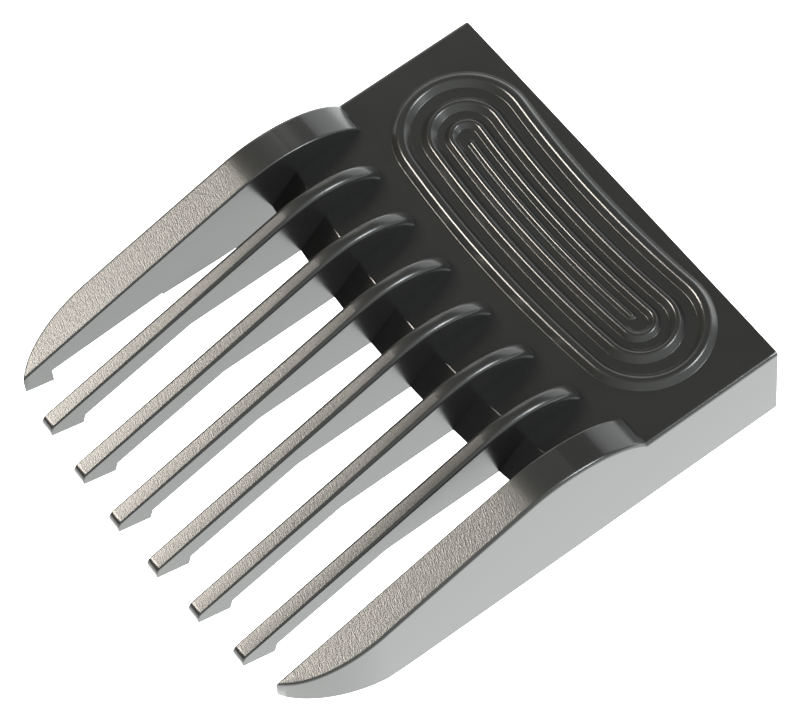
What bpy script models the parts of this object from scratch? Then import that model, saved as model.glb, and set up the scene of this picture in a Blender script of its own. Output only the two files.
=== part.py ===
"""Clipper guard comb: a slide-on guide comb for a hair clipper's blade, in its functional pieces.

Frame: origin on the ground plane under the middle of the comb, +Z up to the crown plate,
+Y towards the rear (handle) edge, tooth tips towards -Y, +X to the comb's right.
Depths in the outlines are measured forward from the rear edge.
"""
import bmesh
import bpy
from math import acos, asin, atan, cos, hypot, pi, sin

MM = 0.001

# ---- driving dimensions -------------------------------------------------------------------
WIDTH = 48.5 * MM               # across the side walls, clears a 46 mm clipper blade
LENGTH = 58.4 * MM              # rear edge to the foremost tooth tips
CROWN_HEIGHT = 10.3 * MM        # underside of the side walls to the crown plate's top
PLATE_THICKNESS = 1.8 * MM
WALL_THICKNESS = 1.15 * MM
BOW_RADIUS = 125.0 * MM         # front edge, crease, tips and finger grip all follow this bow
SEAM = 0.3 * MM                 # clearance between neighbouring solids
CUTTER_MARGIN = 2.0 * MM        # cutters reach this far past what they cut

INNER_TEETH = 6
TOOTH_PITCH = 6.25 * MM
TOOTH_THICKNESS = 1.65 * MM
OUTER_TOOTH_WIDTH = 3.65 * MM

PLATE_DEPTH = 20.5 * MM         # where the crown plate hands over to the crossbar
CREASE_DEPTH = 25.2 * MM        # front end of the flat top
CROSSBAR_DEPTH = 28.6 * MM      # foot of the sloping front facet
SEAT_HEIGHT = 7.1 * MM          # blade seat under the crossbar and the inner teeth
SEAT_LENGTH = 2.0 * MM          # flat foot of the crossbar
BEAM_CHAMFER = 1.4 * MM         # from the foot up to the plate's underside

TIP_TOP = 5.15 * MM             # the tips' small end faces run between these heights
TIP_BOTTOM = 3.9 * MM
HOOK_BOTTOM = 2.6 * MM
HOOK_DEPTH = 54.8 * MM          # rear face of the hook that catches the blade's front edge
NOTCH_TOP = 3.7 * MM
NOTCH_DEPTH = 54.45 * MM
KINK_DEPTH = 41.6 * MM          # where the slender front bar meets the deep rear part
KINK_HEIGHT = 7.1 * MM

INNER_PEAK = (25.8 * MM, 14.15 * MM)    # depth and height of the shoulders' highest points
INNER_SHOULDER = (8.1 * MM, 5.8 * MM)   # half axes of the ellipse that falls to the plate
INNER_CREST_RADIUS = 13.0 * MM
OUTER_PEAK = (25.5 * MM, 14.15 * MM)
OUTER_SHOULDER = (11.4 * MM, 8.0 * MM)
OUTER_CREST_RADIUS = 14.0 * MM
OUTER_TIP_DEPTH = 56.6 * MM
OUTER_TIP_TOP = 5.8 * MM

PLAN_CURVE_DEPTH = 46.5 * MM    # outer face of the outer teeth turns in to the tip from here
PLAN_CURVE_AXES = (5.75 * MM, 10.85 * MM)
OUTER_TIP_FACE = 0.5 * MM       # width of the outer teeth where the plan curve ends
SKIRT_RISE_DEPTH = 45.5 * MM    # the skirt's foot leaves the ground plane here
SKIRT_BEND = (48.5 * MM, 0.7 * MM)      # depth and height of the points of its rising foot
SKIRT_TIP = (54.5 * MM, 2.95 * MM)
SKIRT_END_HEIGHT = 3.45 * MM
OUTER_SEAT_RISE_DEPTH = 32.5 * MM   # the underside of the outer teeth falls from here
OUTER_SEAT_HEIGHT = 5.3 * MM        # to here, and steps down once more
OUTER_STEP = 0.35 * MM
OUTER_STEP_DEPTH = 40.0 * MM
OUTER_NOTCH_TOP = 4.2 * MM
OUTER_NOTCH_DEPTH = 53.4 * MM

GRIP_DEPTH = 8.95 * MM          # spine of the finger grip, behind the bow
GRIP_HALF_LENGTH = 13.85 * MM
GRIP_RECESS = 0.9 * MM
GRIP_FLOOR = 0.1 * MM           # the pad's floor lies this far under the plate's top
# each ridge: distance from the spine, half width, height, half length of the spine
GRIP_RIDGES = (
    (6.25 * MM, 0.97 * MM, 0.63 * MM, GRIP_HALF_LENGTH),
    (3.6 * MM, 0.83 * MM, 0.65 * MM, 13.6 * MM),
    (1.6 * MM, 0.67 * MM, 0.53 * MM, 13.35 * MM),
)
GRIP_SPINE_RIDGE = (0.52 * MM, 0.39 * MM, 12.4 * MM)    # half width, height, half length
# a ridge's section: share of its half width, share of its height
RIDGE_SECTION = ((1.0, 0.0), (0.4, 0.85), (0.0, 1.0), (-0.4, 0.85), (-1.0, 0.0))
GRIP_MARGIN = 1.15 * MM         # pad edge beyond the outermost ridge's centre line

RIB_OFFSET = 13.0 * MM          # seat ribs, either side of the centre
RIB_THICKNESS = 1.2 * MM
RIB_DEPTHS = (4.0 * MM, 20.0 * MM)

LATCH_WIDTH = 14.0 * MM
LATCH_SLOT = 0.7 * MM           # free slot on either side of the tongue
LATCH_ROOT = 7.0 * MM           # height of the bending line
LATCH_PLAY = 0.08 * MM          # the tongue is this much thinner than the wall, on each side
LATCH_HEIGHTS = (0.5 * MM, 6.8 * MM)
CATCH_WIDTH = 10.0 * MM
CATCH_REACH = 0.9 * MM
CATCH_LEAD_IN = 0.4 * MM        # reach of the catch at its lower edge
CATCH_HEIGHTS = (0.9 * MM, 2.1 * MM)

# ---- derived ------------------------------------------------------------------------------
HALF = WIDTH / 2
REAR_Y = LENGTH / 2
UNDERSIDE = CROWN_HEIGHT - PLATE_THICKNESS
OUTER_INNER_X = HALF - OUTER_TOOTH_WIDTH
TOOTH_X = [(i - (INNER_TEETH - 1) / 2) * TOOTH_PITCH for i in range(INNER_TEETH)]
MIDDLE_TOOTH_X = TOOTH_PITCH / 2

BLACK = (0.012, 0.012, 0.013, 1.0)


def bow(x):
    """How far the bowed lines lie behind their depth at the middle teeth, at distance x."""
    return (x * x - MIDDLE_TOOTH_X ** 2) / (2 * BOW_RADIUS)


def world_y(depth):
    return REAR_Y - depth


# ---- helpers ------------------------------------------------------------------------------
def clear_scene():
    for obj in list(bpy.data.objects):
        bpy.data.objects.remove(obj, do_unlink=True)


def plastic(name, roughness):
    mat = bpy.data.materials.new(name)
    mat.use_nodes = True
    shader = mat.node_tree.nodes["Principled BSDF"]
    shader.inputs["Base Color"].default_value = BLACK
    shader.inputs["Roughness"].default_value = roughness
    shader.inputs["Metallic"].default_value = 0.0
    mat.diffuse_color = BLACK
    return mat


def add_object(name, bm, roughness=0.25):
    """Turn a bmesh into an object whose faces point out."""
    bmesh.ops.recalc_face_normals(bm, faces=bm.faces)
    mesh = bpy.data.meshes.new(name)
    bm.to_mesh(mesh)
    bm.free()
    obj = bpy.data.objects.new(name, mesh)
    bpy.context.collection.objects.link(obj)
    mesh.materials.append(plastic(name, roughness))
    return obj


def side_prism(outline, x0, x1):
    """Closed prism along X from an outline of (depth, height) points."""
    bm = bmesh.new()
    near = [bm.verts.new((x0, world_y(d), z)) for d, z in outline]
    far = [bm.verts.new((x1, world_y(d), z)) for d, z in outline]
    return close_prism(bm, near, far)


def plan_prism(outline, z0, z1):
    """Closed prism along Z from an outline of (x, depth) points."""
    bm = bmesh.new()
    near = [bm.verts.new((x, world_y(d), z0)) for x, d in outline]
    far = [bm.verts.new((x, world_y(d), z1)) for x, d in outline]
    return close_prism(bm, near, far)


def close_prism(bm, near, far):
    bm.faces.new(near)
    bm.faces.new(far)
    for i in range(len(near)):
        j = (i + 1) % len(near)
        bm.faces.new((near[i], near[j], far[j], far[i]))
    return bm


def box(x0, x1, depth0, depth1, z0, z1):
    return side_prism([(depth0, z0), (depth1, z0), (depth1, z1), (depth0, z1)], x0, x1)


def cutter(name, bm):
    obj = add_object(name, bm)
    obj.hide_render = True
    obj.display_type = "WIRE"
    return obj


def boolean(obj, other, operation):
    mod = obj.modifiers.new(other.name, "BOOLEAN")
    mod.operation = operation
    mod.solver = "EXACT"
    mod.object = other


# ---- tooth outlines -----------------------------------------------------------------------
def crest(tip, peak, crest_radius, shoulder, floor, steps=7):
    """Top line of a tooth from its tip over the shoulder down to the height of floor."""
    tip_depth, tip_z = tip
    peak_depth, peak_z = peak
    centre_z = peak_z - crest_radius
    # slope of the line from the tip that touches the crest circle
    run = tip_depth - peak_depth
    rise = centre_z - tip_z
    slope = atan(rise / run) + asin(crest_radius / hypot(run, rise))
    points = [tip]
    for i in range(steps + 1):
        a = slope * (1 - i / steps)
        points.append((peak_depth + crest_radius * sin(a), centre_z + crest_radius * cos(a)))
    half_depth, half_height = shoulder
    last = acos(1 - (peak_z - floor) / half_height)
    for i in range(1, steps + 1):
        a = last * i / steps
        points.append((peak_depth - half_depth * sin(a), peak_z - half_height * (1 - cos(a))))
    return points


def inner_tooth(name, x):
    """Slender tooth: crest on top, hook and blade seat below, standing on plate and crossbar."""
    back = bow(x)
    over = CROWN_HEIGHT + SEAM
    facet = (CROSSBAR_DEPTH - CREASE_DEPTH) / (CROWN_HEIGHT - SEAT_HEIGHT)
    clear = SEAM * hypot(1, facet)
    outline = crest((LENGTH, TIP_TOP), INNER_PEAK, INNER_CREST_RADIUS, INNER_SHOULDER, over)
    outline += [
        (CREASE_DEPTH + clear - SEAM * facet, over),
        (CROSSBAR_DEPTH + clear, SEAT_HEIGHT),
        (KINK_DEPTH, KINK_HEIGHT),
        (NOTCH_DEPTH, NOTCH_TOP),
        (HOOK_DEPTH, HOOK_BOTTOM),
        (LENGTH, TIP_BOTTOM),
    ]
    outline = [(d - back, z) for d, z in outline]
    half = TOOTH_THICKNESS / 2
    return add_object(name, side_prism(outline, x - half, x + half))


def plan_edge(inset, steps):
    """Outer edge of an outer tooth from the straight part in to the tip, moved in by inset."""
    half_x, half_y = PLAN_CURVE_AXES
    centre_x = HALF - half_x
    end = acos((OUTER_INNER_X + OUTER_TIP_FACE - centre_x) / half_x)
    points = []
    for i in range(steps + 1):
        a = end * i / steps
        x = centre_x + (half_x - inset) * cos(a)
        points.append((x, PLAN_CURVE_DEPTH + (half_y - inset) * sin(a)))
    return points


def outer_tooth(name, side):
    """Wide outer tooth with its skirt, which continues the side wall forward."""
    start = PLATE_DEPTH + SEAM
    over = CROWN_HEIGHT + SEAM
    tip = (OUTER_TIP_DEPTH, OUTER_TIP_TOP)
    outline = crest(tip, OUTER_PEAK, OUTER_CREST_RADIUS, OUTER_SHOULDER, over)
    outline += [
        (start, over),
        (start, 0.0),
        (SKIRT_RISE_DEPTH, 0.0),
        SKIRT_BEND,
        SKIRT_TIP,
        (OUTER_TIP_DEPTH, SKIRT_END_HEIGHT),
    ]
    x0, x1 = sorted((side * OUTER_INNER_X, side * HALF))
    tooth = add_object(name, side_prism(outline, x0, x1))

    # plan shape: straight inner edge, outer edge curving in to the tip
    margin = CUTTER_MARGIN
    plan = [(side * x, d) for x, d in plan_edge(0.0, 10)]
    plan += [(side * OUTER_INNER_X, OUTER_TIP_DEPTH)]
    plan += [(side * (OUTER_INNER_X - margin), OUTER_TIP_DEPTH)]
    plan += [(side * (OUTER_INNER_X - margin), 0.0)]
    plan += [(side * HALF, 0.0)]
    plan_cutter = cutter(name + "_plan", plan_prism(plan, -margin, CROWN_HEIGHT + 3 * margin))
    boolean(tooth, plan_cutter, "INTERSECT")

    # blade pocket between the skirt and the underside
    inner_edge = [(x, d) for x, d in plan_edge(WALL_THICKNESS, 8) if d < OUTER_NOTCH_DEPTH]
    pocket_plan = [(side * x, d) for x, d in inner_edge]
    pocket_plan += [(side * inner_edge[-1][0], OUTER_NOTCH_DEPTH)]
    pocket_plan += [(side * (OUTER_INNER_X - margin), OUTER_NOTCH_DEPTH)]
    pocket_plan += [(side * (OUTER_INNER_X - margin), 0.0)]
    pocket_plan += [(side * (HALF - WALL_THICKNESS), 0.0)]
    pocket_side = [
        (0.0, -margin),
        (OUTER_NOTCH_DEPTH + margin, -margin),
        (OUTER_NOTCH_DEPTH + margin, OUTER_NOTCH_TOP),
        (OUTER_NOTCH_DEPTH, OUTER_NOTCH_TOP),
        (OUTER_STEP_DEPTH, OUTER_SEAT_HEIGHT - OUTER_STEP),
        (OUTER_STEP_DEPTH, OUTER_SEAT_HEIGHT),
        (OUTER_SEAT_RISE_DEPTH, SEAT_HEIGHT),
        (0.0, SEAT_HEIGHT),
    ]
    pocket = cutter(name + "_pocket", plan_prism(pocket_plan, -margin, CROWN_HEIGHT))
    x0, x1 = sorted((side * (OUTER_INNER_X - 2 * margin), side * (HALF + margin)))
    limit = cutter(name + "_pocket_side", side_prism(pocket_side, x0, x1))
    boolean(pocket, limit, "INTERSECT")
    boolean(tooth, pocket, "DIFFERENCE")
    return tooth


# ---- crown --------------------------------------------------------------------------------
def grip_loop(bm, radius, z, half_length, arc_steps=12, run_steps=10):
    """Closed loop of verts at one distance around the grip's bowed spine."""
    centre_y = world_y(GRIP_DEPTH) + BOW_RADIUS
    swing = half_length / BOW_RADIUS
    verts = []
    for side in (1, -1):
        # along the front (side 1) or rear (side -1) of the spine, then round its end
        r = BOW_RADIUS + side * radius
        for i in range(run_steps):
            a = side * swing * (2 * i / run_steps - 1)
            verts.append(bm.verts.new((r * sin(a), centre_y - r * cos(a), z)))
        end = side * swing
        end_x = BOW_RADIUS * sin(end)
        end_y = centre_y - BOW_RADIUS * cos(end)
        for i in range(arc_steps):
            b = end - side * pi / 2 + pi * i / arc_steps
            verts.append(bm.verts.new((end_x + radius * cos(b), end_y + radius * sin(b), z)))
    return verts


def bridge(bm, lower, upper):
    for i in range(len(lower)):
        j = (i + 1) % len(lower)
        bm.faces.new((lower[i], lower[j], upper[j], upper[i]))


def finger_grip():
    """Bowed stadium pad with concentric half-round ridges."""
    floor = CROWN_HEIGHT - GRIP_FLOOR
    bottom = CROWN_HEIGHT - GRIP_RECESS + SEAM
    edge = GRIP_RIDGES[0][0] + GRIP_MARGIN
    profile = [(edge, floor, GRIP_HALF_LENGTH)]
    for centre, half_width, height, half_length in GRIP_RIDGES:
        for part, share in RIDGE_SECTION:
            radius = centre + part * half_width
            profile.append((radius, floor + share * height, half_length))
    half_width, height, half_length = GRIP_SPINE_RIDGE
    profile += [(half_width, floor, half_length), (half_width * 0.5, floor + height, half_length)]
    bm = bmesh.new()
    previous = grip_loop(bm, edge, bottom, GRIP_HALF_LENGTH)
    bm.faces.new(previous)
    for radius, z, half_length in profile:
        ring = grip_loop(bm, radius, z, half_length)
        bridge(bm, previous, ring)
        previous = ring
    bm.faces.new(previous)
    return add_object("finger_grip", bm)


def crown_plate():
    plate = add_object("crown_plate", box(-HALF, HALF, 0.0, PLATE_DEPTH, UNDERSIDE, CROWN_HEIGHT))
    bm = bmesh.new()
    radius = GRIP_RIDGES[0][0] + GRIP_MARGIN + SEAM
    low = grip_loop(bm, radius, CROWN_HEIGHT - GRIP_RECESS, GRIP_HALF_LENGTH)
    high = grip_loop(bm, radius, CROWN_HEIGHT + GRIP_RECESS, GRIP_HALF_LENGTH)
    bm.faces.new(low)
    bm.faces.new(high)
    bridge(bm, low, high)
    boolean(plate, cutter("grip_recess", bm), "DIFFERENCE")
    return plate


def crossbar(steps=16):
    """Bowed beam that carries the inner teeth, with a crease and a sloping front facet."""
    half = OUTER_INNER_X - SEAM
    section = [
        (PLATE_DEPTH + SEAM, CROWN_HEIGHT, 0),
        (CREASE_DEPTH, CROWN_HEIGHT, 1),
        (CROSSBAR_DEPTH, SEAT_HEIGHT, 1),
        (CROSSBAR_DEPTH - SEAT_LENGTH, SEAT_HEIGHT, 1),
        (CROSSBAR_DEPTH - SEAT_LENGTH - BEAM_CHAMFER, UNDERSIDE, 1),
        (PLATE_DEPTH + SEAM, UNDERSIDE, 0),
    ]
    bm = bmesh.new()
    rings = []
    for i in range(steps + 1):
        x = half * (2 * i / steps - 1)
        rings.append([bm.verts.new((x, world_y(d - bowed * bow(x)), z)) for d, z, bowed in section])
    for a, b in zip(rings, rings[1:]):
        bridge(bm, a, b)
    bm.faces.new(rings[0])
    bm.faces.new(rings[-1])
    return add_object("crossbar", bm)


# ---- walls, ribs and latch ----------------------------------------------------------------
def side_wall(name, side):
    x0, x1 = sorted((side * (HALF - WALL_THICKNESS), side * HALF))
    return add_object(name, box(x0, x1, 0.0, PLATE_DEPTH, 0.0, UNDERSIDE - SEAM))


def rear_wall():
    """Wall between the side walls, open in the middle for the latch tongue."""
    half = HALF - WALL_THICKNESS - SEAM
    opening = LATCH_WIDTH / 2 + LATCH_SLOT
    top = UNDERSIDE - SEAM
    bridge_z = LATCH_ROOT + LATCH_PLAY
    outline = [
        (-half, 0.0),
        (-opening, 0.0),
        (-opening, bridge_z),
        (opening, bridge_z),
        (opening, 0.0),
        (half, 0.0),
        (half, top),
        (-half, top),
    ]
    bm = bmesh.new()
    near = [bm.verts.new((x, world_y(0.0), z)) for x, z in outline]
    far = [bm.verts.new((x, world_y(WALL_THICKNESS), z)) for x, z in outline]
    return add_object("rear_wall", close_prism(bm, near, far))


def seat_rib(name, side):
    """Rib under the crown plate that keeps the blade level with the crossbar's seat."""
    x = side * RIB_OFFSET
    d0, d1 = RIB_DEPTHS
    half = RIB_THICKNESS / 2
    return add_object(name, box(x - half, x + half, d0, d1, SEAT_HEIGHT, UNDERSIDE - SEAM))


def move_origin(obj, y, z):
    """Put the origin on the bending line without moving the mesh."""
    for vert in obj.data.vertices:
        vert.co.y -= y
        vert.co.z -= z
    obj.location = (0.0, y, z)


def latch():
    """Flexing tongue in the rear wall with the catch that snaps under the blade's heel."""
    half = LATCH_WIDTH / 2
    back, front = LATCH_PLAY, WALL_THICKNESS - LATCH_PLAY
    tongue = add_object("latch_tongue", box(-half, half, back, front, *LATCH_HEIGHTS))
    low, high = CATCH_HEIGHTS
    start = front + SEAM
    wedge = [(start, low), (start + CATCH_LEAD_IN, low), (start + CATCH_REACH, high), (start, high)]
    catch = add_object("latch_catch", side_prism(wedge, -CATCH_WIDTH / 2, CATCH_WIDTH / 2))
    root_y = world_y(WALL_THICKNESS / 2)
    for obj in (tongue, catch):
        move_origin(obj, root_y, LATCH_ROOT)


def build():
    clear_scene()
    crown_plate()
    finger_grip()
    crossbar()
    for name, side in (("left", -1), ("right", 1)):
        side_wall(name + "_side_wall", side)
        outer_tooth(name + "_outer_tooth", side)
        seat_rib(name + "_seat_rib", side)
    for i, x in enumerate(TOOTH_X):
        inner_tooth("inner_tooth_%d" % (i + 1), x)
    rear_wall()
    latch()


build()
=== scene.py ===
"""Looks of the clipper guard comb: its visible moulding, plastics, light table and camera.

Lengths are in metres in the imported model's frame: +Z up, tooth tips towards -Y, rear edge at +Y.
Depths are measured forward from the rear edge, as in the comb's own design.
"""

import bmesh
import bpy
from math import acos, asin, atan, cos, hypot, pi, radians, sin, sqrt, tan
from mathutils import Matrix, Vector

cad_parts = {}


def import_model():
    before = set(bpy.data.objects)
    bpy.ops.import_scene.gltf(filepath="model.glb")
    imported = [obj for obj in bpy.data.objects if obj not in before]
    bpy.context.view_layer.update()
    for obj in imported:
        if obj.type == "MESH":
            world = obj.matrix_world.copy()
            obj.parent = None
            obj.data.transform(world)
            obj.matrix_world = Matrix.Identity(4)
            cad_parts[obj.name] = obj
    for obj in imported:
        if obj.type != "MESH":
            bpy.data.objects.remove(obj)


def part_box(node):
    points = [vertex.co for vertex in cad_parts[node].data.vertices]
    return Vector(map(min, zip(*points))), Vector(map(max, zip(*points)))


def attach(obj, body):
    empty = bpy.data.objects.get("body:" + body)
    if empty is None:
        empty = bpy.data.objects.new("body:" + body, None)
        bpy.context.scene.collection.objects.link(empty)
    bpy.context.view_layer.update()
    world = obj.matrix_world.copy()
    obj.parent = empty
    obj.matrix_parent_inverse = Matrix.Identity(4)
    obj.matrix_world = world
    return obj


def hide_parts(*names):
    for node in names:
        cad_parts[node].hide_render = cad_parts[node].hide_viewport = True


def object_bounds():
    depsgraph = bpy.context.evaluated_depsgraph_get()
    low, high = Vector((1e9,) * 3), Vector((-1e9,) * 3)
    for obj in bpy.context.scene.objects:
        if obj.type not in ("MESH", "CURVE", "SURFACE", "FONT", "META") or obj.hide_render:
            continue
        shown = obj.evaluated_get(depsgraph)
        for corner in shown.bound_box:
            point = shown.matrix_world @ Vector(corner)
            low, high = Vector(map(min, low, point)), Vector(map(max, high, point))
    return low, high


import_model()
cad_low, cad_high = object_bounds()

MM = 0.001

# ---- places read from the frame -----------------------------------------------------------
HALF = cad_high.x
REAR_Y = cad_high.y
LENGTH = cad_high.y - cad_low.y
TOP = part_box("crown_plate")[1].z
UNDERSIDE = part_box("crown_plate")[0].z
PLATE_DEPTH = REAR_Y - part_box("crown_plate")[0].y
SEAT_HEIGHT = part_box("crossbar")[0].z
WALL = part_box("right_side_wall")[1].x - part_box("right_side_wall")[0].x
TOOTH_INNER_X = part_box("right_outer_tooth")[0].x
OUTER_TIP_DEPTH = REAR_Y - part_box("right_outer_tooth")[0].y
INNER_TEETH = 6
TEETH = ["inner_tooth_%d" % (i + 1) for i in range(INNER_TEETH)]

# ---- shape of the moulding ----------------------------------------------------------------
BOW_RADIUS = 125.0 * MM
BOW_ZERO_X = (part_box("inner_tooth_4")[0].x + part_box("inner_tooth_4")[1].x) / 2

CREASE_DEPTH = 25.2 * MM
CROSSBAR_DEPTH = 28.6 * MM
SEAT_LENGTH = 2.0 * MM
BEAM_CHAMFER = 1.4 * MM
REAR_EDGE_RADIUS = 0.18 * MM
CREASE_RADIUS = 0.35 * MM
FOOT_RADIUS = 0.12 * MM
WALL_FOOT_RADIUS = 0.08 * MM

TIP_TOP = 5.15 * MM
TIP_BOTTOM = 3.9 * MM
HOOK = (54.8 * MM, 2.6 * MM)
NOTCH = (54.45 * MM, 3.7 * MM)
KINK = (41.6 * MM, 7.1 * MM)
INNER_PEAK = (25.8 * MM, 14.15 * MM)
INNER_SHOULDER = (8.1 * MM, 5.8 * MM)
INNER_CREST_RADIUS = 13.0 * MM
TOOTH_EDGE_RADIUS = 0.18 * MM
SHOULDER_EDGE_RADIUS = 0.6 * MM
EDGE_TAPER_DEPTH = 35.0 * MM
TOOTH_FOOT_RADIUS = 0.1 * MM
TIP_ROUNDING = 0.82 * MM
TIP_FOOT_ROUNDING = 0.22 * MM
KINK_ROUNDING = 1.5 * MM
NOTCH_ROUNDING = 0.12 * MM
HOOK_ROUNDING = 0.15 * MM
ROOT_DEPTH = 0.8 * MM           # how deep a tooth's hidden root stands in the crown
TOP_BAND = 0.3 * MM             # edges this close to the top line belong to the top

OUTER_PEAK = (25.5 * MM, 14.15 * MM)
OUTER_TIP_TOP = 5.8 * MM
OUTER_SHOULDER = (11.4 * MM, 8.0 * MM)
OUTER_CREST_RADIUS = 14.0 * MM
OUTER_EDGE_RADIUS = 0.42 * MM
OUTER_TIP_EDGE_RADIUS = 0.28 * MM
OUTER_INNER_EDGE_RADIUS = 0.22 * MM
PLAN_CURVE_DEPTH = 46.5 * MM
PLAN_CURVE_AXES = (5.75 * MM, 10.85 * MM)
NOSE_DEPTH = 56.0 * MM          # top and foot of the outer teeth draw in from here
NOSE_TOP_DROP = 0.5 * MM
NOSE_FOOT_RISE = 0.15 * MM
SKIRT_RISE_DEPTH = 45.5 * MM    # the skirt's foot leaves the table here
SKIRT_END_HEIGHT = 3.5 * MM
SKIRT_SOFTNESS = 0.1
OUTER_SEAT_HEIGHT = 5.3 * MM
OUTER_SEAT_RISE_DEPTH = 32.5 * MM   # the underside of the outer teeth falls from here
OUTER_STEP = 0.35 * MM
OUTER_STEP_DEPTH = 39.0 * MM
SKIRT_THICKENING = 0.2 * MM     # the skirt is this much thicker than the wall beside the seat
SKIRT_THINNING = 0.35 * MM      # and this much thinner in front of the step
OUTER_NOTCH = (53.4 * MM, 4.2 * MM)
EDGE_SHARE = 0.45               # most of a side frame's width that one rounded edge takes
WALL_SHARE = 0.9                # most of its width that the skirt takes
REAR_ROUND_STEPS = 5
PLAN_STEPS = 18
NOSE_STEPS = 6
STRAIGHT_STATIONS = range(13, 25, 2)    # millimetres in front of the plate
STATION_GAP = 0.05 * MM

GRIP_DEPTH = 8.95 * MM          # spine of the finger grip at the middle teeth
# each ring: distance from the spine, half length of the spine it runs around, and the shape of
# its ridge: half width, half width of its flat top, radii of the top's edges and of the feet,
# slope of its sides
GRIP_RINGS = (
    (6.25 * MM, 13.85 * MM, (0.97 * MM, 0.10 * MM, 0.50 * MM, 0.11 * MM, radians(45))),
    (3.60 * MM, 13.60 * MM, (0.83 * MM, 0.02 * MM, 0.36 * MM, 0.09 * MM, radians(45))),
    (1.60 * MM, 13.35 * MM, (0.67 * MM, 0.02 * MM, 0.33 * MM, 0.09 * MM, radians(45))),
)
GRIP_BAR = (12.4 * MM, (0.50 * MM, 0.02 * MM, 0.28 * MM, 0.09 * MM, radians(44)))
RIDGE_SINK = 0.004 * MM         # the ridges' feet end just under the plate's surface
RIDGE_ROOT = 0.15 * MM
BAR_AXIS_GAP = 0.01 * MM        # the bar's loops stop this far from the spine

RIB_EDGE_RADIUS = 0.1 * MM
RIB_ROOT = 0.4 * MM             # the ribs run this far up into the plate
LATCH_OPENING = 7.7 * MM        # half width of the rear wall's opening for the tongue
BRIDGE_HEIGHT = 7.08 * MM       # top of that opening
TONGUE_ROOT = 0.2 * MM          # the tongue runs this far up into the wall
TONGUE_EDGE_RADIUS = 0.12 * MM
CATCH_LEAD_IN = 0.4 * MM
CATCH_ROOT = 0.5 * MM
CATCH_ROUNDING = 0.12 * MM
CATCH_EDGE_RADIUS = 0.08 * MM
BOX_ROUNDING = 1.5              # a box's long corners, in its edge radii
SMALL_STEPS = 3                 # steps of a rounding on the ribs and the latch

WELD_DISTANCE = 0.0005 * MM
SHARP_ANGLE = radians(32)

# ---- finish -------------------------------------------------------------------------------
SHADE = 0.013                   # base colour of the black plastic
DARK_TINT = (0.85, 0.86, 0.82)
PALE_TINT = (1.15, 1.16, 1.12)
CLOUD_SCALE = 180.0             # noise scales are in waves per metre
RIPPLE_SCALE = 900.0
POLISHED_ROUGHNESS = 0.22
SHOULDER_ROUGHNESS = 0.25
GRIP_ROUGHNESS = 0.24
GRAIN_DEPTH = 24.0 * MM         # nothing behind this depth is grained
TOP_FACE_TILT = 0.8
GRAIN_SCALE = 9000.0
GRAIN_STRETCH = 4.5
GRAIN_TURN = radians(-21)
# roughness, specular level and stroke height of the grain
INNER_GRAIN = (0.31, 0.57, 0.0095 * MM)
OUTER_GRAIN = (0.37, 0.78, 0.024 * MM)
# the teeth aren't rubbed alike: depths where each inner tooth's grain starts and is complete
INNER_GRAIN_DEPTHS = (
    (32.0 * MM, 39.0 * MM),
    (31.0 * MM, 37.0 * MM),
    (30.0 * MM, 35.5 * MM),
    (29.5 * MM, 34.5 * MM),
    (30.5 * MM, 39.0 * MM),
    (31.5 * MM, 47.0 * MM),
)
OUTER_GRAIN_DEPTHS = (27.0 * MM, 33.5 * MM)

# ---- lights and camera --------------------------------------------------------------------
TABLE_SIZE = 1.5
TABLE_GAP = 0.05 * MM
TABLE_SHADE = 0.1               # dark under its glow, so that it hardly shows pools and shadows
TABLE_ROUGHNESS = 0.6
TABLE_GLOW = (3.2, (0.975, 1.0, 0.985))
ROOM_COLOUR = (0.95, 1.0, 0.97, 1)
ROOM_STRENGTH = (0.18, 1.4)     # on the comb's left and on its right
ROOM_SPAN = (-0.3, 0.85)        # directions along X between which the strength changes
# name, direction, distance, width, height, radiance, colour
LAMPS = (
    ("warm_lamp", (-0.495, -0.475, 0.725), 0.6, 0.18, 0.18, 50.0, (1.0, 0.93, 0.84)),
    ("window", (0.50, 0.53, 0.68), 0.7, 0.22, 0.22, 24.0, (0.93, 0.97, 1.0)),
    ("left_panel", (-0.70, 0.42, 0.58), 0.7, 0.30, 0.30, 2.0, (1.0, 1.0, 0.97)),
    ("back_panel", (-0.36, 0.90, 0.22), 0.8, 1.0, 0.45, 1.9, (0.97, 1.0, 1.0)),
    ("side_panel", (-0.93, 0.27, 0.24), 0.9, 0.5, 0.3, 0.9, (1.0, 1.0, 0.98)),
)
CAMERA_AZIMUTH = radians(58.809)
CAMERA_ELEVATION = radians(60.08)
CAMERA_ROLL = radians(-6.572)
CAMERA_DISTANCE = 451.37 * MM
CAMERA_TARGET = Vector((0.0, 9.2 * MM, 0.0))
CAMERA_OFFSET = (5.737 * MM, 1.067 * MM)    # camera's shift to the view's left and down
SENSOR_WIDTH = 36.0
FOCAL_LENGTH = 209.14
CLIP_START = 0.01


def bow(x):
    """How far the bowed lines lie behind their depth at the middle teeth, at distance x."""
    return (x * x - BOW_ZERO_X ** 2) / (2 * BOW_RADIUS)


def progress(value, start, end):
    """Share of the way from start to end, between 0 and 1."""
    return min(1.0, max(0.0, (value - start) / (end - start)))


def world(x, depth, z):
    """Point at a depth from the rear edge."""
    return Vector((x, REAR_Y - depth, z))


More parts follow.
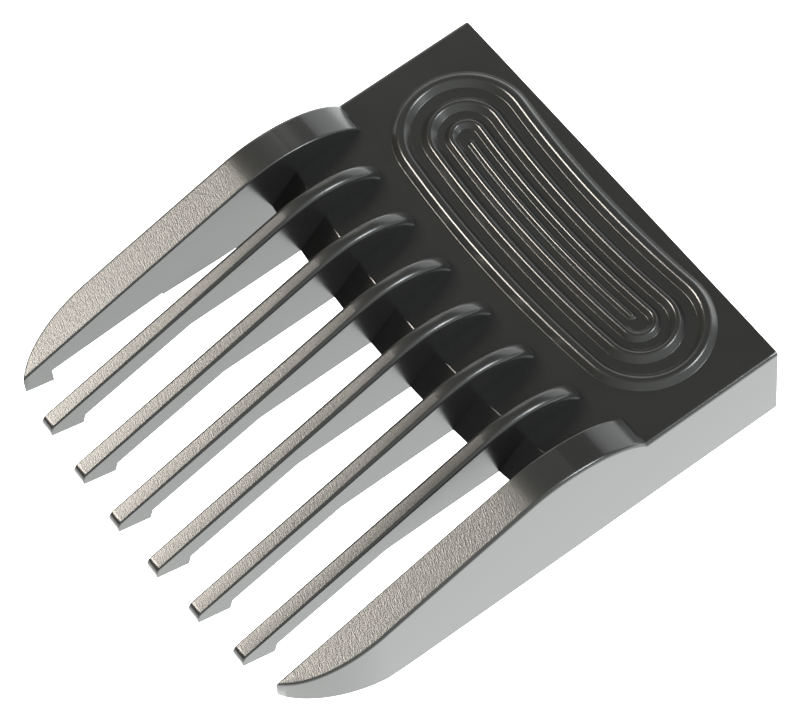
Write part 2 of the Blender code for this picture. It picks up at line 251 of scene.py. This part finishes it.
# ---- mesh helpers -------------------------------------------------------------------------
def round_corners(points, radii, steps=5):
    """Closed outline with each corner replaced by an arc of its radius, where that isn't 0."""
    rounded = []
    for i, point in enumerate(points):
        if not radii[i]:
            rounded.append(tuple(point))
            continue
        corner = Vector(point)
        back = (Vector(points[i - 1]) - corner).normalized()
        ahead = (Vector(points[(i + 1) % len(points)]) - corner).normalized()
        half = back.angle(ahead) / 2
        centre = corner + (back + ahead).normalized() * (radii[i] / sin(half))
        reach = radii[i] / tan(half)
        start = corner + back * reach - centre
        end = corner + ahead * reach - centre
        sweep = pi - 2 * half
        for k in range(steps + 1):
            a = sweep * k / steps
            rounded.append(tuple(centre + (start * sin(sweep - a) + end * sin(a)) / sin(sweep)))
    return rounded


def inset(outline, distances):
    """Outline moved inwards along its mitred corners; the outline runs anticlockwise."""
    moved = []
    for i, point in enumerate(outline):
        here = Vector(point)
        before = (here - Vector(outline[i - 1])).normalized()
        after = (Vector(outline[(i + 1) % len(outline)]) - here).normalized()
        n0 = Vector((-before.y, before.x))
        n1 = Vector((-after.y, after.x))
        mitre = (n0 + n1) / (1 + n0.dot(n1))
        moved.append(here + mitre * distances[i])
    return moved


def anticlockwise(outline):
    """Whether a closed outline runs anticlockwise."""
    area = sum(outline[i - 1][0] * p[1] - p[0] * outline[i - 1][1] for i, p in enumerate(outline))
    return area > 0


def add_object(name, data):
    obj = bpy.data.objects.new(name, data)
    bpy.context.scene.collection.objects.link(obj)
    return obj


def finish_mesh(name, bm):
    """Turn a bmesh into a smooth shaded object with face weighted normals."""
    bmesh.ops.remove_doubles(bm, verts=bm.verts, dist=WELD_DISTANCE)
    bmesh.ops.dissolve_degenerate(bm, edges=bm.edges, dist=WELD_DISTANCE)
    bmesh.ops.recalc_face_normals(bm, faces=bm.faces)
    mesh = bpy.data.meshes.new(name)
    bm.to_mesh(mesh)
    bm.free()
    mesh.shade_smooth()
    mesh.set_sharp_from_angle(angle=SHARP_ANGLE)
    obj = add_object(name, mesh)
    weighted = obj.modifiers.new("weighted_normals", "WEIGHTED_NORMAL")
    weighted.keep_sharp = True
    return obj


def bridge(bm, lower, upper):
    """Quads between two equally long closed rings of verts."""
    for i in range(len(lower)):
        j = (i + 1) % len(lower)
        bm.faces.new((lower[i], lower[j], upper[j], upper[i]))


def loft(name, sections):
    """Skin over equally long closed sections, capped at both ends."""
    bm = bmesh.new()
    rings = [[bm.verts.new(p) for p in section] for section in sections]
    for a, b in zip(rings, rings[1:]):
        bridge(bm, a, b)
    bm.faces.new(rings[0])
    bm.faces.new(rings[-1])
    return finish_mesh(name, bm)


def rounded_prism(name, outline, radii, x0, x1, steps=4):
    """Prism along X over an outline of (depth, z) points, its side edges rounded."""
    if not anticlockwise(outline):
        outline = outline[::-1]
        radii = radii[::-1]
    near = []
    far = []
    for i in range(steps + 1):
        a = pi / 2 * i / steps
        shape = inset(outline, [r * (1 - sin(a)) for r in radii])
        near.append([world(x0 + r * (1 - cos(a)), d, z) for (d, z), r in zip(shape, radii)])
        far.append([world(x1 - r * (1 - cos(a)), d, z) for (d, z), r in zip(shape, radii)])
    return loft(name, near + far[::-1])


# ---- tooth top lines ----------------------------------------------------------------------
class Crest:
    """Top line of a tooth: straight from its tip, over a crest circle, down an ellipse."""

    def __init__(self, tip, peak, radius, shoulder):
        self.tip_depth, self.tip_z = tip
        self.peak_depth, self.peak_z = peak
        self.radius = radius
        self.half_depth, self.half_height = shoulder
        run = self.tip_depth - self.peak_depth
        rise = self.peak_z - radius - self.tip_z
        self.slope = atan(rise / run) + asin(radius / hypot(run, rise))
        self.line_depth = self.peak_depth + radius * sin(self.slope)
        self.last = acos(1 - (self.peak_z - TOP) / self.half_height)
        self.heel_depth = self.peak_depth - self.half_depth * sin(self.last)

    def height(self, depth):
        """Height of the top line at a depth."""
        if depth >= self.line_depth:
            return self.tip_z + (self.tip_depth - depth) * tan(self.slope)
        if depth >= self.peak_depth:
            across = depth - self.peak_depth
            return self.peak_z - self.radius + sqrt(self.radius ** 2 - across ** 2)
        if depth > self.heel_depth:
            a = asin((self.peak_depth - depth) / self.half_depth)
            return self.peak_z - self.half_height * (1 - cos(a))
        return TOP

    def depths(self, steps=14):
        """Depths from the line's end back to the heel, evenly turned."""
        round_top = [self.peak_depth + self.radius * sin(self.slope * (1 - i / steps))
                     for i in range(steps)]
        heel = [self.peak_depth - self.half_depth * sin(self.last * i / steps)
                for i in range(steps + 1)]
        return round_top + heel


# ---- inner teeth --------------------------------------------------------------------------
def tooth_edge(depth):
    """Radius of a tooth's top edges: wide over the shoulder, narrower on the straight part."""
    share = progress(depth, INNER_PEAK[0], EDGE_TAPER_DEPTH)
    return SHOULDER_EDGE_RADIUS + (TOOTH_EDGE_RADIUS - SHOULDER_EDGE_RADIUS) * share


def inner_tooth(name):
    """Slender tooth with rounded edges, standing in the plate and crossbar."""
    low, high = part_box(name)
    x = (low.x + high.x) / 2
    back = bow(x)
    crest = Crest((LENGTH, TIP_TOP), INNER_PEAK, INNER_CREST_RADIUS, INNER_SHOULDER)
    top = [(crest.tip_depth, crest.tip_z)]
    top += [(d, crest.height(d)) for d in crest.depths()]
    hidden = [
        (crest.heel_depth, TOP - ROOT_DEPTH),
        (CREASE_DEPTH, TOP - ROOT_DEPTH),
        (CROSSBAR_DEPTH - SEAT_LENGTH / 2, SEAT_HEIGHT + ROOT_DEPTH),
        (CROSSBAR_DEPTH - SEAT_LENGTH / 4, SEAT_HEIGHT),
    ]
    under = [KINK, NOTCH, HOOK, (LENGTH, TIP_BOTTOM)]
    corners = top + hidden + under
    bends = [TIP_ROUNDING] + [0] * (len(top) - 1) + [0] * len(hidden)
    bends += [KINK_ROUNDING, NOTCH_ROUNDING, HOOK_ROUNDING, TIP_FOOT_ROUNDING]
    outline = round_corners([(d - back, z) for d, z in corners], bends)
    radii = []
    for d, z in outline:
        on_top = z > crest.height(d + back) - TOP_BAND and z > TIP_BOTTOM
        radii.append(tooth_edge(d + back) if on_top else TOOTH_FOOT_RADIUS)
    piece = rounded_prism(name + "_moulding", outline, radii, low.x, high.x)
    dress(piece, TOOTH_SIDES, INNER_TOPS[name])
    keep(piece, "comb", "teeth", name)


# ---- outer teeth with the side walls --------------------------------------------------------
OUTER_TIP = (OUTER_TIP_DEPTH, OUTER_TIP_TOP)
OUTER_CREST = Crest(OUTER_TIP, OUTER_PEAK, OUTER_CREST_RADIUS, OUTER_SHOULDER)


def nose(depth, drop):
    """How far a face has drawn in at the very tip."""
    share = progress(depth, NOSE_DEPTH, OUTER_TIP_DEPTH)
    return drop * (1 - sqrt(1 - share ** 2))


def rear_round(depth):
    """How far the rear corner has drawn in."""
    if depth >= REAR_EDGE_RADIUS:
        return 0.0
    return REAR_EDGE_RADIUS - sqrt(REAR_EDGE_RADIUS ** 2 - (REAR_EDGE_RADIUS - depth) ** 2)


def outer_x(depth):
    """Distance of the side face from the middle."""
    if depth <= PLAN_CURVE_DEPTH:
        return HALF - rear_round(depth)
    half_x, half_y = PLAN_CURVE_AXES
    share = (depth - PLAN_CURVE_DEPTH) / half_y
    return HALF - half_x + half_x * sqrt(1 - share ** 2)


def outer_top(depth):
    """Height of the top face."""
    return OUTER_CREST.height(depth) - rear_round(depth) - nose(depth, NOSE_TOP_DROP)


def skirt_foot(depth):
    """Height of the skirt's lower edge."""
    if depth <= SKIRT_RISE_DEPTH:
        return 0.0
    share = (depth - SKIRT_RISE_DEPTH) / (OUTER_TIP_DEPTH - SKIRT_RISE_DEPTH)
    soft = SKIRT_SOFTNESS
    rise = (hypot(share, soft) - soft) / (hypot(1, soft) - soft)
    return SKIRT_END_HEIGHT * rise + nose(depth, NOSE_FOOT_RISE)


def frame_section(side, depth, ceiling, thickness, steps=5, foot_steps=2):
    """Section of a side frame at one depth: top, side face, foot, and the pocket's ceiling."""
    top = outer_top(depth)
    foot = skirt_foot(depth)
    x_in = TOOTH_INNER_X
    x_out = outer_x(depth)
    room = (x_out - x_in) * EDGE_SHARE
    r_in = min(OUTER_INNER_EDGE_RADIUS, room)
    if depth < CREASE_DEPTH:
        r_in = min(r_in, OUTER_CREST.height(depth) - TOP)
    share = progress(depth, GRAIN_DEPTH, NOSE_DEPTH)
    r_out = min(OUTER_EDGE_RADIUS + (OUTER_TIP_EDGE_RADIUS - OUTER_EDGE_RADIUS) * share, room)
    wall = min(thickness, (x_out - x_in) * WALL_SHARE)
    roof = foot if ceiling is None else ceiling
    points = [(x_in, roof)]
    for i in range(steps + 1):
        a = pi / 2 * i / steps
        points.append((x_in + r_in * (1 - cos(a)), top - r_in * (1 - sin(a))))
    for i in range(steps + 1):
        a = pi / 2 * i / steps
        points.append((x_out - r_out * (1 - sin(a)), top - r_out * (1 - cos(a))))
    r_foot = min(TOOTH_FOOT_RADIUS, room)
    for i in range(foot_steps + 1):
        a = pi / 2 * i / foot_steps
        points.append((x_out - r_foot * (1 - cos(a)), foot + r_foot * (1 - sin(a))))
    points += [(x_out - wall, foot), (x_out - wall, roof)]
    return [world(side * x, depth, z) for x, z in points]


def arc_depths(start, reach, turn, steps):
    """Depths from start towards start + reach, as evenly turned points of an arc have them."""
    return [start + reach * sin(turn * i / steps) for i in range(steps + 1)]


def frame_stations():
    """Depths at which a side frame has sections, close together where it curves."""
    rear_turns = [pi / 2 * i / REAR_ROUND_STEPS for i in range(REAR_ROUND_STEPS + 1)]
    stations = [REAR_EDGE_RADIUS * (1 - cos(turn)) for turn in rear_turns]
    stations += OUTER_CREST.depths()
    stations += [PLATE_DEPTH + i * MM for i in STRAIGHT_STATIONS]
    plan_reach = PLAN_CURVE_AXES[1]
    plan_turn = asin((NOSE_DEPTH - PLAN_CURVE_DEPTH) / plan_reach)
    stations += arc_depths(PLAN_CURVE_DEPTH, plan_reach, plan_turn, PLAN_STEPS)
    stations += arc_depths(NOSE_DEPTH, OUTER_TIP_DEPTH - NOSE_DEPTH, pi / 2, NOSE_STEPS)[1:]
    return sorted(stations)


def side_frame(name, side):
    """Outer tooth, skirt and side wall of one side in one moulding."""
    stations = frame_stations()
    notch_depth, notch_z = OUTER_NOTCH
    thick = WALL + SKIRT_THICKENING
    thin = WALL - SKIRT_THINNING
    # depth, ceiling height and skirt thickness at both ends of each stretch of the underside
    spans = [
        ((0.0, None, WALL), (WALL, None, WALL)),
        ((WALL, UNDERSIDE, WALL), (PLATE_DEPTH, UNDERSIDE, WALL)),
        ((PLATE_DEPTH, SEAT_HEIGHT, thick), (OUTER_SEAT_RISE_DEPTH, SEAT_HEIGHT, thick)),
        ((OUTER_SEAT_RISE_DEPTH, SEAT_HEIGHT, thick), (OUTER_STEP_DEPTH, OUTER_SEAT_HEIGHT, WALL)),
        ((OUTER_STEP_DEPTH, OUTER_SEAT_HEIGHT - OUTER_STEP, thin), (notch_depth, notch_z, thin)),
        ((notch_depth, None, thin), (OUTER_TIP_DEPTH, None, thin)),
    ]
    sections = []
    for start, end in spans:
        inside = [d for d in stations if start[0] + STATION_GAP < d < end[0] - STATION_GAP]
        for d in [start[0]] + inside + [end[0]]:
            share = progress(d, start[0], end[0])
            ceiling = None if start[1] is None else start[1] + (end[1] - start[1]) * share
            thickness = start[2] + (end[2] - start[2]) * share
            sections.append(frame_section(side, d, ceiling, thickness))
    piece = loft(name + "_frame_moulding", sections)
    dress(piece, SMOOTH, OUTER_TOPS)
    keep(piece, "comb", "teeth", name + "_outer_tooth", name + "_side_wall")


# ---- crown: plate, crossbar and rear wall -----------------------------------------------------
def crown_section(x, wall_foot):
    """Section of the crown at one distance from the middle."""
    back = bow(x)
    corners = [
        (0.0, wall_foot, WALL_FOOT_RADIUS),
        (0.0, TOP, REAR_EDGE_RADIUS),
        (CREASE_DEPTH - back, TOP, CREASE_RADIUS),
        (CROSSBAR_DEPTH - back, SEAT_HEIGHT, FOOT_RADIUS),
        (CROSSBAR_DEPTH - back - SEAT_LENGTH, SEAT_HEIGHT, 0),
        (CROSSBAR_DEPTH - back - SEAT_LENGTH - BEAM_CHAMFER, UNDERSIDE, 0),
        (WALL, UNDERSIDE, 0),
        (WALL, wall_foot, WALL_FOOT_RADIUS),
    ]
    outline = round_corners([(d, z) for d, z, _ in corners], [r for _, _, r in corners])
    return [world(x, d, z) for d, z in outline]


def crown(steps=24):
    """Crown plate with its bowed crossbar and the rear wall, open for the latch tongue."""
    spans = [
        (-TOOTH_INNER_X, -LATCH_OPENING, 0.0),
        (-LATCH_OPENING, LATCH_OPENING, BRIDGE_HEIGHT),
        (LATCH_OPENING, TOOTH_INNER_X, 0.0),
    ]
    sections = []
    for start, end, foot in spans:
        for i in range(steps + 1):
            sections.append(crown_section(start + (end - start) * i / steps, foot))
    piece = loft("crown_moulding", sections)
    dress(piece, SMOOTH)
    keep(piece, "comb", "crown", "crown_plate", "crossbar", "rear_wall")


# ---- finger grip --------------------------------------------------------------------------
def stadium(radius, z, half_length, arc_steps=28, run_steps=14):
    """Closed loop of points at one distance around the grip's bowed spine."""
    centre_y = REAR_Y - GRIP_DEPTH + BOW_RADIUS
    swing = half_length / BOW_RADIUS
    points = []
    for side in (1, -1):
        r = BOW_RADIUS + side * radius
        for i in range(run_steps):
            a = side * swing * (2 * i / run_steps - 1)
            points.append(Vector((r * sin(a), centre_y - r * cos(a), z)))
        end = side * swing
        end_x = BOW_RADIUS * sin(end)
        end_y = centre_y - BOW_RADIUS * cos(end)
        for i in range(arc_steps):
            b = end - side * pi / 2 + pi * i / arc_steps
            points.append(Vector((end_x + radius * cos(b), end_y + radius * sin(b), z)))
    return points


def ridge_profile(half_width, flat, radius, foot, slope, steps=6):
    """Section of a ridge: flat top, rounded edges, straight sides and hollow feet."""
    side = (half_width - flat - (radius + foot) * sin(slope)) / cos(slope)
    height = (radius + foot) * (1 - cos(slope)) + side * sin(slope) - RIDGE_SINK
    half = [(0.0, height)]
    for i in range(steps + 1):
        a = slope * i / steps
        half.append((flat + radius * sin(a), height - radius * (1 - cos(a))))
    for i in range(steps, -1, -1):
        a = slope * i / steps
        half.append((half_width - foot * sin(a), foot * (1 - cos(a)) - RIDGE_SINK))
    half.append((half_width, -RIDGE_ROOT))
    return half[::-1] + [(-t, z) for t, z in half[1:]]


def finger_grip():
    """Three rings around a bar, all bowed like the comb's front edge."""
    bm = bmesh.new()
    for centre, half_length, shape in GRIP_RINGS:
        rings = []
        for t, z in ridge_profile(*shape):
            rings.append([bm.verts.new(p) for p in stadium(centre + t, TOP + z, half_length)])
        for a, b in zip(rings, rings[1:] + rings[:1]):
            bridge(bm, a, b)
    half_length, shape = GRIP_BAR
    profile = [p for p in ridge_profile(*shape) if p[0] > BAR_AXIS_GAP]
    rings = [[bm.verts.new(p) for p in stadium(t, TOP + z, half_length)] for t, z in profile]
    for a, b in zip(rings, rings[1:]):
        bridge(bm, a, b)
    bm.faces.new(rings[0])
    bm.faces.new(rings[-1])
    piece = finish_mesh("finger_grip_ridges", bm)
    dress(piece, GRIP_FINISH)
    keep(piece, "comb", "grip", "finger_grip")


# ---- ribs and latch -----------------------------------------------------------------------
def small_prism(name, corners, bends, radius, x0, x1):
    """Prism along X over a few (depth, z) corners, each rounded by its bend."""
    shape = round_corners(corners, bends, SMALL_STEPS)
    return rounded_prism(name, shape, [radius] * len(shape), x0, x1, SMALL_STEPS)


def rounded_box(name, low, high, radius):
    """Box between two corners with all its edges rounded."""
    rear = REAR_Y - high.y
    front = REAR_Y - low.y
    corners = [(rear, low.z), (front, low.z), (front, high.z), (rear, high.z)]
    bends = [radius * BOX_ROUNDING] * len(corners)
    return small_prism(name, corners, bends, radius, low.x, high.x)


def seat_rib(name):
    """Rib under the plate, running up into it."""
    low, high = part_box(name)
    high.z = UNDERSIDE + RIB_ROOT
    piece = rounded_box(name + "_moulding", low, high, RIB_EDGE_RADIUS)
    dress(piece, SMOOTH)
    keep(piece, "comb", "crown", name)


def latch():
    """Tongue in the rear wall's opening and the catch on its inner face."""
    low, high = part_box("latch_tongue")
    high.z = BRIDGE_HEIGHT + TONGUE_ROOT
    tongue = rounded_box("latch_tongue_moulding", low, high, TONGUE_EDGE_RADIUS)
    dress(tongue, SMOOTH)
    keep(tongue, "latch", "crown", "latch_tongue")
    low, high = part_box("latch_catch")
    rear = REAR_Y - high.y
    front = REAR_Y - low.y
    corners = [
        (rear - CATCH_ROOT, low.z),
        (rear + CATCH_LEAD_IN, low.z),
        (front, high.z),
        (rear - CATCH_ROOT, high.z),
    ]
    bends = [0, CATCH_ROUNDING, CATCH_ROUNDING, 0]
    catch = small_prism("latch_catch_moulding", corners, bends, CATCH_EDGE_RADIUS, low.x, high.x)
    dress(catch, SMOOTH)
    keep(catch, "latch", "crown", "latch_catch")


# ---- materials ----------------------------------------------------------------------------
def add_node(tree, kind, **settings):
    made = tree.nodes.new(kind)
    for key, value in settings.items():
        setattr(made, key, value)
    return made


def noise(tree, vector, scale, detail):
    made = add_node(tree, "ShaderNodeTexNoise")
    made.inputs["Scale"].default_value = scale
    made.inputs["Detail"].default_value = detail
    tree.links.new(vector, made.inputs["Vector"])
    return made.outputs["Fac"]


def remap(tree, value, low, high, start=0.0, end=1.0, kind="LINEAR"):
    """Map a value running from start to end onto low to high."""
    made = add_node(tree, "ShaderNodeMapRange", interpolation_type=kind)
    made.inputs["From Min"].default_value = start
    made.inputs["From Max"].default_value = end
    made.inputs["To Min"].default_value = low
    made.inputs["To Max"].default_value = high
    tree.links.new(value, made.inputs["Value"])
    return made.outputs["Result"]


def plastic(name):
    """Uneven tone of black injection moulded plastic: material, tree, shader, place and noise."""
    mat = bpy.data.materials.new(name)
    mat.use_nodes = True
    tree = mat.node_tree
    shader = tree.nodes["Principled BSDF"]
    shader.inputs["Metallic"].default_value = 0.0
    shader.inputs["IOR"].default_value = 1.5
    place = add_node(tree, "ShaderNodeTexCoord").outputs["Object"]
    cloud = noise(tree, place, CLOUD_SCALE, 4.0)
    ramp = add_node(tree, "ShaderNodeValToRGB")
    for stop, tint in zip(ramp.color_ramp.elements, (DARK_TINT, PALE_TINT)):
        stop.color = (*(SHADE * part for part in tint), 1)
    tree.links.new(cloud, ramp.inputs["Fac"])
    tree.links.new(ramp.outputs["Color"], shader.inputs["Base Color"])
    return mat, tree, shader, place, cloud


def polished(name, roughness, spread=0.03, ripple=0.0015 * MM):
    """Smooth moulded surface with a faint ripple."""
    mat, tree, shader, place, cloud = plastic(name)
    uneven = remap(tree, cloud, roughness - spread, roughness + spread)
    tree.links.new(uneven, shader.inputs["Roughness"])
    bump = add_node(tree, "ShaderNodeBump")
    bump.inputs["Distance"].default_value = ripple
    tree.links.new(noise(tree, place, RIPPLE_SCALE, 2.0), bump.inputs["Height"])
    tree.links.new(bump.outputs["Normal"], shader.inputs["Normal"])
    return mat


def grained(name, grain, depths):
    """Tooth tops: polished at the shoulder, covered in short cross strokes past a depth."""
    roughness, shine, height = grain
    start, end = depths
    mat, tree, shader, place, _ = plastic(name)
    shader.inputs["Specular IOR Level"].default_value = shine
    split = add_node(tree, "ShaderNodeSeparateXYZ")
    tree.links.new(place, split.inputs["Vector"])
    along = remap(tree, split.outputs["Y"], 0.0, 1.0, REAR_Y - start, REAR_Y - end, "SMOOTHSTEP")
    rubbed = remap(tree, along, SHOULDER_ROUGHNESS, roughness)
    tree.links.new(rubbed, shader.inputs["Roughness"])
    turned = add_node(tree, "ShaderNodeMapping", vector_type="TEXTURE")
    turned.inputs["Rotation"].default_value = (0.0, 0.0, GRAIN_TURN)
    turned.inputs["Scale"].default_value = (GRAIN_STRETCH, 1.0, 1.0)
    tree.links.new(place, turned.inputs["Vector"])
    strokes = noise(tree, turned.outputs["Vector"], GRAIN_SCALE, 2.0)
    bump = add_node(tree, "ShaderNodeBump")
    bump.inputs["Distance"].default_value = height
    tree.links.new(along, bump.inputs["Strength"])
    tree.links.new(strokes, bump.inputs["Height"])
    tree.links.new(bump.outputs["Normal"], shader.inputs["Normal"])
    return mat


SMOOTH = polished("polished_black", POLISHED_ROUGHNESS)
TOOTH_SIDES = polished("tooth_black", SHOULDER_ROUGHNESS)
GRIP_FINISH = polished("grip_black", GRIP_ROUGHNESS, 0.02, 0.0002 * MM)
INNER_TOPS = {}
for tooth, depths in zip(TEETH, INNER_GRAIN_DEPTHS):
    INNER_TOPS[tooth] = grained("grained_" + tooth, INNER_GRAIN, depths)
OUTER_TOPS = grained("grained_outer_tops", OUTER_GRAIN, OUTER_GRAIN_DEPTHS)


def dress(piece, finish, top_finish=None):
    """Give a piece its finish, and the tops of its tooth another."""
    piece.data.materials.append(finish)
    if top_finish:
        piece.data.materials.append(top_finish)
        for face in piece.data.polygons:
            on_top = face.normal.z > TOP_FACE_TILT and face.center.y < REAR_Y - GRAIN_DEPTH
            face.material_index = int(on_top)


def keep(piece, body, slot, *nodes):
    """Join a piece to its body and hide the nodes that it stands for."""
    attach(piece, body)
    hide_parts(*nodes)


# ---- stage ----------------------------------------------------------------------------------
def table_glow():
    """Material of the glowing table."""
    strength, colour = TABLE_GLOW
    mat = bpy.data.materials.new("table_glow")
    mat.use_nodes = True
    shader = mat.node_tree.nodes["Principled BSDF"]
    shader.inputs["Base Color"].default_value = (TABLE_SHADE, TABLE_SHADE, TABLE_SHADE, 1)
    shader.inputs["Roughness"].default_value = TABLE_ROUGHNESS
    shader.inputs["Emission Color"].default_value = (*colour, 1)
    shader.inputs["Emission Strength"].default_value = strength
    return mat


def light_table():
    """Pale back-lit table under the comb."""
    bm = bmesh.new()
    bmesh.ops.create_grid(bm, x_segments=1, y_segments=1, size=TABLE_SIZE)
    mesh = bpy.data.meshes.new("light_table")
    bm.to_mesh(mesh)
    bm.free()
    table = add_object("light_table", mesh)
    table.location.z = -TABLE_GAP
    mesh.materials.append(table_glow())


def softbox(name, direction, distance, width, height, radiance, colour):
    """Area light of a given radiance, facing the comb from a direction."""
    data = bpy.data.lights.new(name, "AREA")
    data.shape = "RECTANGLE"
    data.size = width
    data.size_y = height
    data.energy = radiance * pi * width * height
    data.color = colour
    light = add_object(name, data)
    towards = Vector(direction).normalized()
    light.location = towards * distance
    light.rotation_euler = towards.to_track_quat("Z", "Y").to_euler()


def dim_room():
    """Surroundings that are dark on the comb's left and paler on its right."""
    room = bpy.data.worlds.new("room")
    bpy.context.scene.world = room
    room.use_nodes = True
    tree = room.node_tree
    background = tree.nodes["Background"]
    background.inputs["Color"].default_value = ROOM_COLOUR
    place = add_node(tree, "ShaderNodeTexCoord")
    split = add_node(tree, "ShaderNodeSeparateXYZ")
    tree.links.new(place.outputs["Generated"], split.inputs["Vector"])
    light = remap(tree, split.outputs["X"], *ROOM_STRENGTH, *ROOM_SPAN)
    tree.links.new(light, background.inputs["Strength"])


def camera():
    """Camera above the right front, rolled a little, with a long lens."""
    flat = cos(CAMERA_ELEVATION)
    back = Vector((
        sin(CAMERA_AZIMUTH) * flat,
        -cos(CAMERA_AZIMUTH) * flat,
        sin(CAMERA_ELEVATION),
    ))
    right = Vector((cos(CAMERA_AZIMUTH), sin(CAMERA_AZIMUTH), 0.0))
    up = back.cross(right)
    across = right * cos(CAMERA_ROLL) + up * sin(CAMERA_ROLL)
    upward = up * cos(CAMERA_ROLL) - right * sin(CAMERA_ROLL)
    left_shift, down_shift = CAMERA_OFFSET
    eye = CAMERA_TARGET - across * left_shift - upward * down_shift + back * CAMERA_DISTANCE
    data = bpy.data.cameras.new("camera")
    data.sensor_width = SENSOR_WIDTH
    data.lens = FOCAL_LENGTH
    data.clip_start = CLIP_START
    obj = add_object("camera", data)
    obj.matrix_world = Matrix((
        (across.x, upward.x, back.x, eye.x),
        (across.y, upward.y, back.y, eye.y),
        (across.z, upward.z, back.z, eye.z),
        (0, 0, 0, 1),
    ))
    bpy.context.scene.camera = obj


crown()
finger_grip()
for side_name, side in (("left", -1), ("right", 1)):
    side_frame(side_name, side)
    seat_rib(side_name + "_seat_rib")
for tooth in TEETH:
    inner_tooth(tooth)
latch()

light_table()
dim_room()
for lamp in LAMPS:
    softbox(*lamp)
bpy.context.scene.view_settings.view_transform = "Standard"
camera()
